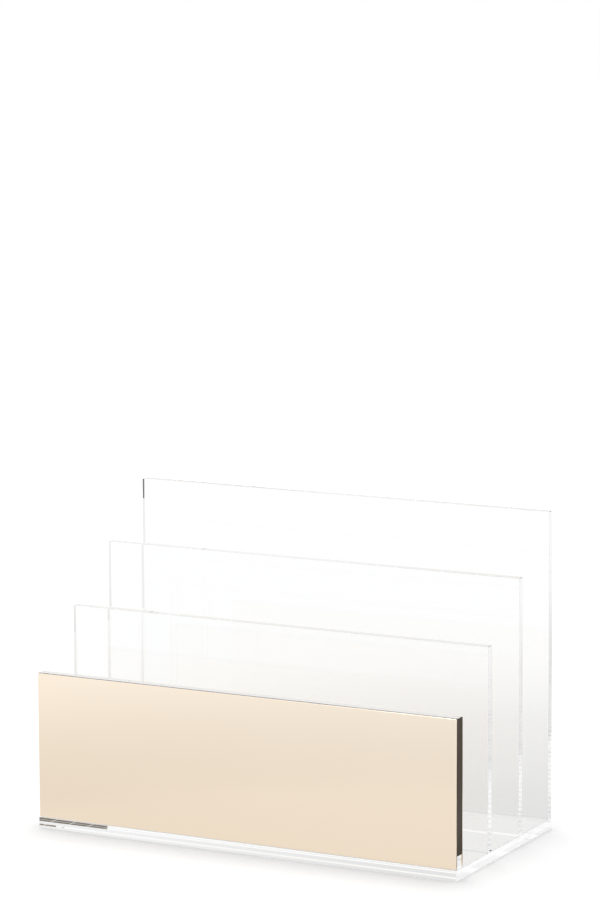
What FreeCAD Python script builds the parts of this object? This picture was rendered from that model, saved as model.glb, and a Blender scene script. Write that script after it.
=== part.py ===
import FreeCAD, Part
import os

# Desktop file holder: a clear base plate, three clear dividers that rise towards the back, and a low
# clear front panel that is faced on both sides with thin polished gold-tone metal and has a dark brown
# band over each end.
# Millimetres, +Z up, +Y towards the back. The origin is the middle of the base plate's underside.

# Overall size of the base plate
WIDTH = 254.0
DEPTH = 123.0

# Sheet stock
BASE_THICKNESS = 5.9
FRONT_THICKNESS = 6.0       # front panel
PANEL_THICKNESS = 5.0       # dividers
METAL_THICKNESS = 0.8
FILM_THICKNESS = 0.2
BAND_THICKNESS = 0.3

# Height of each upright's top edge above the table
FRONT_TOP = 87.0
LOW_TOP = 118.0
MIDDLE_TOP = 147.7
TALL_TOP = 177.7

# Fits
FRONT_LEDGE = 0.4           # strip of base left bare in front of the front metal plate
METAL_BASE_GAP = 0.2        # metal plate's lower edge above the base plate
METAL_REVEAL = 0.15         # metal plate's edges inside the front panel's top and the base plate's ends
FILM_REVEAL = 0.5           # film's top and side edges inside the metal plate's edges
BROWN_BASE_MARGIN = 7.5     # lower edge of the films and the edge bands above the base plate

# Edge finish
ACRYLIC_ROUND = 0.35        # polished edges of the clear pieces
METAL_ROUND = 0.4           # eased edges of the metal plates' outer faces

BASE_FRONT = -DEPTH / 2

TINY = 0.001


def slab(width, y_front, thickness, z_low, z_high):
    """Flat rectangular piece centred on X, with its front face at y_front."""
    corner = FreeCAD.Vector(-width / 2, y_front, z_low)
    return Part.makeBox(width, thickness, z_high - z_low, corner)


def base_plate():
    """Clear plate with every edge polished round."""
    plate = slab(WIDTH, BASE_FRONT, DEPTH, 0.0, BASE_THICKNESS)
    return plate.makeFillet(ACRYLIC_ROUND, plate.Edges)


def clear_panel(width, y_front, thickness, z_top):
    """Clear upright whose square lower edge is cemented to the base plate."""
    panel = slab(width, y_front, thickness, BASE_THICKNESS, z_top)
    free_edges = [e for e in panel.Edges if e.BoundBox.ZMax > BASE_THICKNESS + TINY]
    return panel.makeFillet(ACRYLIC_ROUND, free_edges)


def metal_plate(y_front, y_outer):
    """Metal facing whose outer face, at y_outer, has eased edges."""
    width = WIDTH - 2 * METAL_REVEAL
    z_low = BASE_THICKNESS + METAL_BASE_GAP
    plate = slab(width, y_front, METAL_THICKNESS, z_low, FRONT_TOP - METAL_REVEAL)
    outer_edges = [e for e in plate.Edges if all(abs(v.Y - y_outer) < TINY for v in e.Vertexes)]
    return plate.makeFillet(METAL_ROUND, outer_edges)


def adhesive_film(y_front):
    """Thin film that fills the space between a metal plate and the front panel, down to its margin."""
    width = WIDTH - 2 * (METAL_REVEAL + FILM_REVEAL)
    z_low = BASE_THICKNESS + BROWN_BASE_MARGIN
    z_high = FRONT_TOP - METAL_REVEAL - FILM_REVEAL
    return slab(width, y_front, FILM_THICKNESS, z_low, z_high)


def edge_band(x_low, y_front, y_back):
    """Band over one end of the front panel, between the two metal plates."""
    z_low = BASE_THICKNESS + BROWN_BASE_MARGIN
    corner = FreeCAD.Vector(x_low, y_front, z_low)
    return Part.makeBox(BAND_THICKNESS, y_back - y_front, FRONT_TOP - METAL_REVEAL - z_low, corner)


def front_sandwich():
    """Front panel with its films, metal plates and edge bands, from the front to the back."""
    front_plate_y = BASE_FRONT + FRONT_LEDGE
    front_film_y = front_plate_y + METAL_THICKNESS
    panel_y = front_film_y + FILM_THICKNESS
    rear_film_y = panel_y + FRONT_THICKNESS
    rear_plate_y = rear_film_y + FILM_THICKNESS
    panel_width = WIDTH - 2 * BAND_THICKNESS
    return {
        "front_metal_plate": metal_plate(front_plate_y, front_plate_y),
        "front_adhesive_film": adhesive_film(front_film_y),
        "front_panel": clear_panel(panel_width, panel_y, FRONT_THICKNESS, FRONT_TOP),
        "rear_adhesive_film": adhesive_film(rear_film_y),
        "rear_metal_plate": metal_plate(rear_plate_y, rear_plate_y + METAL_THICKNESS),
        "left_edge_band": edge_band(-WIDTH / 2, front_film_y, rear_plate_y),
        "right_edge_band": edge_band(panel_width / 2, front_film_y, rear_plate_y),
    }


def dividers():
    """Three clear dividers at an even pitch, the last one flush with the base plate's back edge."""
    tops = {"low_divider": LOW_TOP, "middle_divider": MIDDLE_TOP, "tall_divider": TALL_TOP}
    pitch = (DEPTH - PANEL_THICKNESS) / len(tops)
    return {
        name: clear_panel(WIDTH, BASE_FRONT + pitch * (place + 1), PANEL_THICKNESS, z_top)
        for place, (name, z_top) in enumerate(tops.items())
    }


pieces = {"base_plate": base_plate()}
pieces.update(front_sandwich())
pieces.update(dividers())

os.makedirs("parts", exist_ok=True)
for name, shape in pieces.items():
    shape.exportStep(f"parts/{name}.step")
    print(name, "solids", len(shape.Solids), "volume", round(shape.Volume, 1))
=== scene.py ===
import bpy
from functools import partial
from itertools import product
from math import pi, radians, tan
from mathutils import Matrix, Vector


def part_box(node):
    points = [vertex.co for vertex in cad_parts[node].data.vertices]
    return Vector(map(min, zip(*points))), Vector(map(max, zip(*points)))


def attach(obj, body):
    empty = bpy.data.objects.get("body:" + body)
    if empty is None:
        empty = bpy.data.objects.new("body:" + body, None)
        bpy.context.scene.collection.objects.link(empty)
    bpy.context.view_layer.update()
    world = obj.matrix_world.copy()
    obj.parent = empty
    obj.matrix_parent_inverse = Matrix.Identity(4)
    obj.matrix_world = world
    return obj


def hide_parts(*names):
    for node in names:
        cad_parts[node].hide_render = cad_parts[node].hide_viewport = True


# Looks of the desktop file holder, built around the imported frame. Metres, +Z up, +Y towards the back.

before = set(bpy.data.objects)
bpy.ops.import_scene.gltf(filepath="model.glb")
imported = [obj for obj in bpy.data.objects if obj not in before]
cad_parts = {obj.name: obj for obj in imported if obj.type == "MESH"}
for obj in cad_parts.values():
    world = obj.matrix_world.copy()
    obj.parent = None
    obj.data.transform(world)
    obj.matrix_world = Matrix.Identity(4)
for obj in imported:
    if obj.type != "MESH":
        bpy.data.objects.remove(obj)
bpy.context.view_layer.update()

MM = 0.001

# Edge roundings. The uprights' and the metal plates' are those of the frame
ACRYLIC_ROUND = 0.35 * MM
BASE_ROUND = 0.12 * MM             # sharper than in the frame, as the base plate looks
METAL_ROUND = 0.4 * MM
FILM_ROUND = 0.01 * MM             # square in the frame, like the bands
BAND_ROUND = 0.05 * MM
ROUND_STEPS = 4                    # facets over half of each rounding

# Joints between the pieces
CLEARANCE = 0.01 * MM              # air on the films' and bands' faces, and under the front panel
SPOT_PITCH = 4.0 * MM              # spots of cement under the front panel
SPOT_LENGTH = 0.6 * MM
SPOTS_END = 66.0 * MM              # from here to the right end the cement is whole
SAME = 0.001 * MM                  # two places nearer than this are one

SIDES = [(axis, end) for axis in range(3) for end in (0, 1)]


# Meshes

def stations(low, high, radius, cuts):
    """Places of the grid lines along one axis: close together over the roundings, then the cuts."""
    turns = [tan(radians(45) * step / ROUND_STEPS) for step in range(ROUND_STEPS + 1)]
    near = [radius * (1 - turn) for turn in reversed(turns)]
    inner = [cut for cut in cuts if low + radius + SAME < cut < high - radius - SAME]
    return [low + n for n in near] + sorted(inner) + [high - n for n in reversed(near)]


def rounded_slab(name, low, high, radius, cuts=((), (), ()), square=(), slot_of=None):
    """Closed box mesh with rounded edges and exact normals.

    A side named in square, as (axis, end), stays flat up to a sharp edge. Cuts are extra grid lines,
    and slot_of(side, centre) gives the material slot of each face."""
    inner_low = [low[a] + (0 if (a, 0) in square else radius) for a in range(3)]
    inner_high = [high[a] - (0 if (a, 1) in square else radius) for a in range(3)]
    lines = [stations(low[a], high[a], radius, cuts[a]) for a in range(3)]
    points, index, faces, normals, slots = [], {}, [], [], []

    def core(place):
        return Vector(min(max(place[a], inner_low[a]), inner_high[a]) for a in range(3))

    def rounded(place):
        base = core(place)
        reach = place - base
        if reach.length < SAME:
            return place
        return base + reach.normalized() * max(abs(c) for c in reach)

    def vertex(place):
        key = tuple(round(c / SAME) for c in place)
        if key not in index:
            index[key] = len(points)
            points.append(rounded(place))
        return index[key]

    for axis, end in SIDES:
        level = (low, high)[end][axis]
        outward = Vector((0, 0, 0))
        outward[axis] = (-1, 1)[end]
        u, v = (axis + 1) % 3, (axis + 2) % 3
        for i, j in product(range(len(lines[u]) - 1), range(len(lines[v]) - 1)):
            corners = []
            for du, dv in ((0, 0), (1, 0), (1, 1), (0, 1)):
                place = Vector((0, 0, 0))
                place[axis], place[u], place[v] = level, lines[u][i + du], lines[v][j + dv]
                corners.append(place)
            if not end:
                corners.reverse()
            loop = [vertex(place) for place in corners]
            # Two grid lines are one where the roundings of a thin plate meet
            if len(set(loop)) < 3:
                continue
            faces.append(loop)
            for place in corners:
                reach = place - core(place)
                flat = (axis, end) in square or reach.length < SAME
                normals.append(outward if flat else reach.normalized())
            centre = sum(corners, Vector((0, 0, 0))) / 4
            slots.append(slot_of((axis, end), centre) if slot_of else 0)

    piece = mesh_object(name, points, faces)
    mesh = piece.data
    mesh.polygons.foreach_set("material_index", slots)
    mesh.polygons.foreach_set("use_smooth", [True] * len(faces))
    mesh.normals_split_custom_set(normals)
    mesh.update()
    return piece


def mesh_object(name, points, faces):
    mesh = bpy.data.meshes.new(name)
    mesh.from_pydata(points, [], faces)
    piece = bpy.data.objects.new(name, mesh)
    bpy.context.scene.collection.objects.link(piece)
    return piece


def inside(centre, low, high, axes):
    """True where a face's centre lies between two corners along the given axes."""
    return all(low[a] - SAME < centre[a] < high[a] + SAME for a in axes)


def add_piece(piece, node, materials):
    """Puts a finished piece in place of its CAD node."""
    for material in materials:
        piece.data.materials.append(material)
    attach(piece, "root")
    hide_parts(node)


# Material helpers

def new_material(name):
    """New material, with its nodes, its links and its main shader."""
    material = bpy.data.materials.new(name)
    material.use_nodes = True
    nodes = material.node_tree.nodes
    return material, nodes, material.node_tree.links, nodes["Principled BSDF"]


def bare_material(name):
    """New material without a shader, with its nodes, its links and the socket of its surface."""
    material, nodes, links, shader = new_material(name)
    nodes.remove(shader)
    return material, nodes, links, nodes["Material Output"].inputs["Surface"]


def object_coordinates(nodes, links, scale=(1, 1, 1)):
    """Object coordinates, stretched along each axis by scale."""
    place = nodes.new("ShaderNodeTexCoord")
    mapping = nodes.new("ShaderNodeMapping")
    mapping.inputs["Scale"].default_value = scale
    links.new(place.outputs["Object"], mapping.inputs["Vector"])
    return mapping.outputs["Vector"]


def split_axes(nodes, links, place):
    axes = nodes.new("ShaderNodeSeparateXYZ")
    links.new(place, axes.inputs["Vector"])
    return axes.outputs


def distance_from(nodes, links, place, centre):
    distance = nodes.new("ShaderNodeVectorMath")
    distance.operation = "DISTANCE"
    links.new(place, distance.inputs[0])
    distance.inputs[1].default_value = centre
    return distance.outputs["Value"]


def noise(nodes, links, place, scale, detail=3.0):
    texture = nodes.new("ShaderNodeTexNoise")
    texture.inputs["Scale"].default_value = scale
    texture.inputs["Detail"].default_value = detail
    links.new(place, texture.inputs["Vector"])
    return texture.outputs["Fac"]


def remap(nodes, links, value, low, high, to_low, to_high):
    span = nodes.new("ShaderNodeMapRange")
    span.inputs["From Min"].default_value = low
    span.inputs["From Max"].default_value = high
    span.inputs["To Min"].default_value = to_low
    span.inputs["To Max"].default_value = to_high
    links.new(value, span.inputs["Value"])
    return span.outputs["Result"]


def arithmetic(nodes, links, operation, first, second):
    node = nodes.new("ShaderNodeMath")
    node.operation = operation
    for socket, value in zip(node.inputs, (first, second)):
        if isinstance(value, (int, float)):
            socket.default_value = value
        else:
            links.new(value, socket)
    return node.outputs["Value"]


def ramp_of(nodes, links, value, stops):
    """Straight lines between the stops, each of which is a place and a level."""
    curve = nodes.new("ShaderNodeFloatCurve")
    points = curve.mapping.curves[0].points
    far, top = stops[-1][0], max(level for _, level in stops)
    for number, (place, level) in enumerate(stops):
        point = points[number] if number < 2 else points.new(1, 1)
        point.location = (place / far, level / top)
    for point in points:
        point.handle_type = "VECTOR"
    curve.mapping.update()
    links.new(remap(nodes, links, value, 0, far, 0, 1), curve.inputs["Value"])
    return remap(nodes, links, curve.outputs["Value"], 0, 1, 0, top)


def mix_colours(nodes, links, factor, first, second):
    mix = nodes.new("ShaderNodeMix")
    mix.data_type = "RGBA"
    links.new(factor, mix.inputs["Factor"])
    mix.inputs["A"].default_value = (*first, 1)
    mix.inputs["B"].default_value = (*second, 1)
    return mix.outputs["Result"]


def mix_shaders(nodes, links, factor, first, second):
    mix = nodes.new("ShaderNodeMixShader")
    for socket, value in zip(mix.inputs, (factor, first, second)):
        links.new(value, socket)
    return mix.outputs["Shader"]


# Materials of the object

CLEAR_TINTS = ((0.998, 1.0, 0.999), (0.992, 0.996, 0.994))
# Grey-tinted copy of the clear acrylic for the front panel's top face: painted shade
SHADED_TOP_TINTS = ((0.84, 0.83, 0.81), (0.80, 0.79, 0.77))
# The gold's two tints serve its clouds and its painted sheen, paler at the plates' tops
GOLD_TINTS_AND_SHEEN = ((0.953, 0.808, 0.635), (0.996, 0.872, 0.730))
ADHESIVE_TINTS = ((0.022, 0.014, 0.009), (0.035, 0.022, 0.015))
BAND_TINTS = ((0.074, 0.043, 0.022), (0.096, 0.058, 0.030))

ACRYLIC_IOR = 1.49
GOLD_SHEEN_SPAN = (6 * MM, 87 * MM)      # painted sheen: the gold-tone plates are painted paler from their foot to their top
GOLD_CLOUD_SHARE = 0.2             # how much of that change follows clouds in place of the painted sheen
GOLD_ROUGHNESS = (0.08, 0.14)
ADHESIVE_ROUGHNESS = 0.6
BAND_ROUGHNESS = (0.3, 0.45)
BAND_SPECULAR = 0.35

# Noise: its scale is in waves for each metre, and a stretch under 1 draws it out along that axis
NOISE_SPAN = (0.3, 0.7)            # most of a noise's values lie between these
TINT_SCALE = 60
GRAIN_SCALE, GRAIN_DETAIL, GRAIN_STRETCH = 4000, 2.0, (0.02, 1, 1)
GOLD_CLOUD_SCALE, GOLD_CLOUD_DETAIL = 18, 4.0
ADHESIVE_SCALE = 90
BAND_SCALE, BAND_DETAIL, BAND_STRETCH = 120, 4.0, (1, 1, 0.4)


def clear_acrylic(name, tints):
    """Cast acrylic: clear, with a faint unevenness in its tint."""
    material, nodes, links, shader = new_material(name)
    shader.inputs["Transmission Weight"].default_value = 1.0
    shader.inputs["IOR"].default_value = ACRYLIC_IOR
    shader.inputs["Roughness"].default_value = 0.0
    patches = noise(nodes, links, object_coordinates(nodes, links), TINT_SCALE)
    links.new(mix_colours(nodes, links, patches, *tints), shader.inputs["Base Color"])
    return material


def cemented_face():
    """Where clear pieces are cemented together: the light goes straight through."""
    material, nodes, links, surface = bare_material("cemented_face")
    clear = nodes.new("ShaderNodeBsdfTransparent")
    links.new(clear.outputs["BSDF"], surface)
    return material


def gold_metal():
    """Polished gold-tone metal with fine drawn grain, faint cloudiness and a painted sheen, paler
    towards its top.
    """
    material, nodes, links, shader = new_material("gold_metal")
    shader.inputs["Metallic"].default_value = 1.0
    grain_place = object_coordinates(nodes, links, GRAIN_STRETCH)
    grain = noise(nodes, links, grain_place, GRAIN_SCALE, GRAIN_DETAIL)
    links.new(remap(nodes, links, grain, *NOISE_SPAN, *GOLD_ROUGHNESS), shader.inputs["Roughness"])

    place = object_coordinates(nodes, links)
    clouds = noise(nodes, links, place, GOLD_CLOUD_SCALE, GOLD_CLOUD_DETAIL)
    low = -GOLD_CLOUD_SHARE / 2
    # Painted sheen: the colour pales with height up the plates
    painted_sheen = remap(nodes, links, split_axes(nodes, links, place)["Z"], *GOLD_SHEEN_SPAN, low, 1 + low)
    added = remap(nodes, links, clouds, 0, 1, 0, GOLD_CLOUD_SHARE)
    tone = arithmetic(nodes, links, "ADD", painted_sheen, added)
    links.new(mix_colours(nodes, links, tone, *GOLD_TINTS_AND_SHEEN), shader.inputs["Base Color"])
    return material


def film_adhesive():
    """Dark brown adhesive."""
    material, nodes, links, shader = new_material("film_adhesive")
    clouds = noise(nodes, links, object_coordinates(nodes, links), ADHESIVE_SCALE)
    links.new(mix_colours(nodes, links, clouds, *ADHESIVE_TINTS), shader.inputs["Base Color"])
    shader.inputs["Roughness"].default_value = ADHESIVE_ROUGHNESS
    return material


def brown_band():
    """Dark brown edge band: satin, a little cloudy along its length."""
    material, nodes, links, shader = new_material("brown_band")
    place = object_coordinates(nodes, links, BAND_STRETCH)
    clouds = noise(nodes, links, place, BAND_SCALE, BAND_DETAIL)
    links.new(mix_colours(nodes, links, clouds, *BAND_TINTS), shader.inputs["Base Color"])
    links.new(remap(nodes, links, clouds, *NOISE_SPAN, *BAND_ROUGHNESS), shader.inputs["Roughness"])
    shader.inputs["Specular IOR Level"].default_value = BAND_SPECULAR
    return material


ACRYLIC = clear_acrylic("clear_acrylic", CLEAR_TINTS)
SHADED_TOP_ACRYLIC = clear_acrylic("acrylic_painted_shade", SHADED_TOP_TINTS)
CEMENT = cemented_face()
GOLD = gold_metal()
ADHESIVE = film_adhesive()
BAND = brown_band()


# Pieces

UPRIGHTS = ("front_panel", "low_divider", "middle_divider", "tall_divider")
CLEAR_FACE, CEMENTED_FACE, SHADED_TOP_FACE = range(3)

base_low, base_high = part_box("base_plate")
flat_low = base_low + Vector((ACRYLIC_ROUND,) * 3)
flat_high = base_high - Vector((ACRYLIC_ROUND,) * 3)
footprints = {node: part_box(node) for node in UPRIGHTS}
spot_count = int(flat_high.x / SPOT_PITCH)
spot_lines = [
    number * SPOT_PITCH + side * SPOT_LENGTH / 2
    for number in range(-spot_count, spot_count + 1) for side in (-1, 1)
]


def in_a_spot(centre):
    """True where cement holds the front panel: in the spots, and all along past their end."""
    from_spot = abs(centre.x - round(centre.x / SPOT_PITCH) * SPOT_PITCH)
    return centre.x > SPOTS_END or from_spot < SPOT_LENGTH / 2


def is_cemented(centre):
    """True where an upright is cemented to the flat top of the base plate."""
    return inside(centre, flat_low, flat_high, (0, 1)) and any(
        inside(centre, low, high, (1,)) and (node != "front_panel" or in_a_spot(centre))
        for node, (low, high) in footprints.items()
    )


def add_base():
    def slot_of(side, centre):
        return CEMENTED_FACE if side == (2, 1) and is_cemented(centre) else CLEAR_FACE

    across = spot_lines + [flat_low.x, flat_high.x]
    along = [corner.y for box in footprints.values() for corner in box] + [flat_high.y]
    piece = rounded_slab("base_plate_clear", base_low, base_high, BASE_ROUND,
                         (across, along, ()), slot_of=slot_of)
    add_piece(piece, "base_plate", (ACRYLIC, CEMENT))


def add_upright(node):
    low, high = footprints[node]
    is_front = node == "front_panel"
    if is_front:
        low = low + Vector((0, 0, CLEARANCE))

    def slot_of(side, centre):
        # The front panel's top face gets painted shade: a grey-tinted copy of the clear acrylic
        if side == (2, 1) and is_front:
            return SHADED_TOP_FACE
        return CEMENTED_FACE if side == (2, 0) and is_cemented(centre) else CLEAR_FACE

    piece = rounded_slab(node + "_clear", low, high, ACRYLIC_ROUND,
                         (spot_lines if is_front else (), (flat_high.y,), ()),
                         square=[(2, 0)], slot_of=slot_of)
    add_piece(piece, node, (ACRYLIC, CEMENT, SHADED_TOP_ACRYLIC))


def add_metal_plate(node, inner_end):
    low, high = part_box(node)
    piece = rounded_slab(node + "_gold", low, high, METAL_ROUND, square=[(1, inner_end)])
    add_piece(piece, node, (GOLD,))


def add_film(node):
    low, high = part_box(node)
    gap = Vector((0, CLEARANCE, 0))
    piece = rounded_slab(node + "_dark", low + gap, high - gap, FILM_ROUND)
    add_piece(piece, node, (ADHESIVE,))


def add_edge_band(node):
    low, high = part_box(node)
    gap = Vector((CLEARANCE, CLEARANCE, 0))
    piece = rounded_slab(node + "_brown", low + gap, high - gap, BAND_ROUND)
    add_piece(piece, node, (BAND,))


add_base()
for upright in UPRIGHTS:
    add_upright(upright)
add_metal_plate("front_metal_plate", 1)
add_metal_plate("rear_metal_plate", 0)
for film in ("front_adhesive_film", "rear_adhesive_film"):
    add_film(film)
for band in ("left_edge_band", "right_edge_band"):
    add_edge_band(band)


# Camera, fitted to the object's corners in the photo

LENS = 153.53                      # millimetres, like the sensor's width
SENSOR_WIDTH = 36
CLIP = (0.1, 100)                  # metres
YAW = 27.491                       # degrees, like the tilt and the roll
TILT = 9.0218
ROLL = -0.277
AIM = (4.33 * MM, 0, 211.17 * MM)
DISTANCE = 2080.2 * MM


def add_camera():
    data = bpy.data.cameras.new("camera")
    data.lens = LENS
    data.sensor_width = SENSOR_WIDTH
    data.sensor_fit = "AUTO"
    data.clip_start, data.clip_end = CLIP
    camera = bpy.data.objects.new("camera", data)
    camera.matrix_world = (
        Matrix.Translation(AIM)
        @ Matrix.Rotation(radians(YAW), 4, "Z")
        @ Matrix.Rotation(radians(90 - TILT), 4, "X")
        @ Matrix.Rotation(radians(ROLL), 4, "Z")
        @ Matrix.Translation((0, 0, DISTANCE))
    )
    bpy.context.scene.collection.objects.link(camera)
    bpy.context.scene.camera = camera


# Stage

FLOOR_HALF = 6.0                   # half the length of its side
FLOOR_DROP = 0.05 * MM             # floor below the underside, so that no two faces share a plane
FLOOR_GREY = 0.85
FLOOR_GLOW = 0.44                  # lifts the unshaded floor to white for the camera
GLOW_REACH = (0.25, 1.2)           # the glow grows to full white between these distances
SKY_LIGHT = 0.30                   # how bright the surroundings are as light on matt surfaces

SOFTBOX_PLACE = Vector((-0.12, 0.15, 1.6))
SOFTBOX_AIM = Vector((0, 0, 0))
SOFTBOX_SIDE = 0.9
SOFTBOX_LIGHT = 5.4                # how bright its face is

# How bright the floor looks through clear pieces and in mirrors, by distance from DIM_CENTRE
DIM_CENTRE = (130 * MM, 60 * MM, 0)
FLOOR_SHADE = ((0, 0.755), (90 * MM, 0.78), (166 * MM, 0.835), (216 * MM, 0.86), (269 * MM, 0.885),
               (324 * MM, 0.93), (380 * MM, 0.965), (430 * MM, 0.99), (487 * MM, 1.0))
FRONT_SHADE = ((0, 0.91), (300 * MM, 0.90), (340 * MM, 0.87), (400 * MM, 0.87), (490 * MM, 0.90),
               (560 * MM, 0.95), (630 * MM, 1.0))
FRONT_EDGE = (-60 * MM, -90 * MM)  # the front shades begin here, and are whole here
RIGHT_SHADE = 0.85                 # share of it that clear pieces show right of where the painted shade starts

# Painted shade: the floor at the right is painted dark, and only mirrored rays see it.
# Its shades go by the distance to the right of its start
PAINTED_SHADE_START = (127 * MM, -60 * MM)
PAINTED_SHADE_LEVELS = ((0, 1.0), (10 * MM, 0.95), (13 * MM, 0.12), (27 * MM, 0.15), (33 * MM, 0.80),
              (75 * MM, 0.85), (80 * MM, 0.05), (105 * MM, 0.12), (130 * MM, 0.26), (145 * MM, 0.48),
              (170 * MM, 0.70), (230 * MM, 0.85), (300 * MM, 0.95))
PAINTED_SHADE_TURN = 205 * MM               # from this far back on, the shades lean to the right
PAINTED_SHADE_SLANT = 0.22                  # how far they lean for each step back

# Painted shade: far behind on the right the floor is painted darker still, and only clear pieces show
# it
FAR_PAINTED_SHADE_CORNER = (350 * MM, 900 * MM)
FAR_PAINTED_SHADE = 0.15

# A dark flag stands at the back on the right, and shows only through clear pieces and in mirrors
FLAG_PLACE = (193 * MM, 559 * MM, 156 * MM)
FLAG_TURN = -31                    # degrees about the vertical
FLAG_PARTS = (                     # left, low, right and high edges of its two parts
    (-28 * MM, -10 * MM, 30 * MM, 10 * MM),
    (28 * MM, 10 * MM, 44 * MM, 26 * MM),
)
FLAG_COLOUR = (0.165, 0.14, 0.112)

BOUNCES = 256
TRANSPARENT_BOUNCES = 64


def seen_by_object(nodes, links, path):
    """1 on rays that a mirror or a clear piece sends straight to the camera, or else 0."""
    either = arithmetic(nodes, links, "MAXIMUM", path["Is Glossy Ray"], path["Is Transmission Ray"])
    first_light = arithmetic(nodes, links, "LESS_THAN", path["Diffuse Depth"], 1)
    return arithmetic(nodes, links, "MULTIPLY", either, first_light)


def floor_brightness(nodes, links, place, path):
    """How bright the floor looks through clear pieces and in mirrors."""
    do = partial(arithmetic, nodes, links)
    axes = split_axes(nodes, links, place)
    x, y = axes["X"], axes["Y"]

    def choose(switch, first, second):
        return do("ADD", first, do("MULTIPLY", do("SUBTRACT", second, first), switch))

    def beyond(corner):
        """1 behind a corner and to the right of it, or else 0."""
        return do("MULTIPLY", do("GREATER_THAN", x, corner[0]), do("GREATER_THAN", y, corner[1]))

    distance = distance_from(nodes, links, place, DIM_CENTRE)
    around = ramp_of(nodes, links, distance, FLOOR_SHADE)
    front = ramp_of(nodes, links, distance, FRONT_SHADE)
    plain = choose(remap(nodes, links, y, *FRONT_EDGE, 0, 1), around, front)

    # Painted shade on the floor at the right, seen only in mirrors
    lean = do("MULTIPLY", do("MAXIMUM", do("SUBTRACT", y, PAINTED_SHADE_TURN), 0), PAINTED_SHADE_SLANT)
    across = do("SUBTRACT", do("SUBTRACT", x, PAINTED_SHADE_START[0]), lean)
    painted_shade = ramp_of(nodes, links, across, PAINTED_SHADE_LEVELS)
    # Painted shade far behind on the right, seen only through clear pieces
    far_loss = do("MULTIPLY", beyond(FAR_PAINTED_SHADE_CORNER), RIGHT_SHADE - FAR_PAINTED_SHADE)
    dimmed = do("MULTIPLY", plain, do("SUBTRACT", RIGHT_SHADE, far_loss))
    # A refracted ray counts as a glossy ray too, so this is what tells it from a mirrored ray
    on_right = choose(path["Is Transmission Ray"], painted_shade, dimmed)
    return choose(beyond(PAINTED_SHADE_START), plain, on_right)


def add_floor():
    corners = [(x, y, -FLOOR_DROP) for x, y in (
        (-FLOOR_HALF, -FLOOR_HALF), (FLOOR_HALF, -FLOOR_HALF),
        (FLOOR_HALF, FLOOR_HALF), (-FLOOR_HALF, FLOOR_HALF),
    )]
    floor = mesh_object("floor", corners, [(0, 1, 2, 3)])
    material, nodes, links, surface = bare_material("floor")
    floor.data.materials.append(material)
    place = nodes.new("ShaderNodeTexCoord").outputs["Object"]
    path = nodes.new("ShaderNodeLightPath").outputs

    diffuse = nodes.new("ShaderNodeBsdfDiffuse")
    diffuse.inputs["Color"].default_value = (FLOOR_GREY, FLOOR_GREY, FLOOR_GREY, 1)
    matt = diffuse.outputs["BSDF"]
    glow = nodes.new("ShaderNodeEmission")
    outward = distance_from(nodes, links, place, (0, 0, 0))
    links.new(remap(nodes, links, outward, *GLOW_REACH, FLOOR_GLOW, 1), glow.inputs["Strength"])
    shown = nodes.new("ShaderNodeAddShader")
    links.new(matt, shown.inputs[0])
    links.new(glow.outputs["Emission"], shown.inputs[1])
    mirrored = nodes.new("ShaderNodeEmission")
    links.new(floor_brightness(nodes, links, place, path), mirrored.inputs["Strength"])

    direct = mix_shaders(nodes, links, path["Is Camera Ray"], matt, shown.outputs["Shader"])
    by_object = seen_by_object(nodes, links, path)
    links.new(mix_shaders(nodes, links, by_object, direct, mirrored.outputs["Emission"]), surface)


def add_flag():
    corners = [
        corner for left, low, right, high in FLAG_PARTS
        for corner in ((left, 0, low), (right, 0, low), (right, 0, high), (left, 0, high))
    ]
    flag = mesh_object("flag", corners, [(0, 1, 2, 3), (4, 5, 6, 7)])
    flag.location = FLAG_PLACE
    flag.rotation_euler = (0, 0, radians(FLAG_TURN))
    material, nodes, links, surface = bare_material("flag")
    flag.data.materials.append(material)
    glow = nodes.new("ShaderNodeEmission")
    glow.inputs["Color"].default_value = (*FLAG_COLOUR, 1)
    links.new(glow.outputs["Emission"], surface)
    flag.visible_camera = flag.visible_diffuse = flag.visible_shadow = False


def add_world():
    """White for the camera, mirrors and clear pieces, and less bright as light on matt surfaces."""
    world = bpy.data.worlds.new("studio")
    bpy.context.scene.world = world
    world.use_nodes = True
    nodes, links = world.node_tree.nodes, world.node_tree.links
    background = nodes["Background"]
    background.inputs["Color"].default_value = (1, 1, 1, 1)
    path = nodes.new("ShaderNodeLightPath").outputs
    by_object = seen_by_object(nodes, links, path)
    white = arithmetic(nodes, links, "MAXIMUM", path["Is Camera Ray"], by_object)
    links.new(remap(nodes, links, white, 0, 1, SKY_LIGHT, 1), background.inputs["Strength"])


def add_softbox():
    data = bpy.data.lights.new("softbox_overhead", "AREA")
    data.shape = "RECTANGLE"
    data.size = data.size_y = SOFTBOX_SIDE
    data.energy = SOFTBOX_LIGHT * SOFTBOX_SIDE * SOFTBOX_SIDE * pi
    lamp = bpy.data.objects.new("softbox_overhead", data)
    lamp.location = SOFTBOX_PLACE
    lamp.rotation_euler = (SOFTBOX_AIM - SOFTBOX_PLACE).to_track_quat("-Z", "Y").to_euler()
    bpy.context.scene.collection.objects.link(lamp)


def set_up_render():
    scene = bpy.context.scene
    scene.view_settings.view_transform = "Standard"
    scene.cycles.max_bounces = BOUNCES
    scene.cycles.transmission_bounces = BOUNCES
    scene.cycles.glossy_bounces = BOUNCES
    scene.cycles.transparent_max_bounces = TRANSPARENT_BOUNCES


add_camera()
add_floor()
add_flag()
add_world()
add_softbox()
set_up_render()
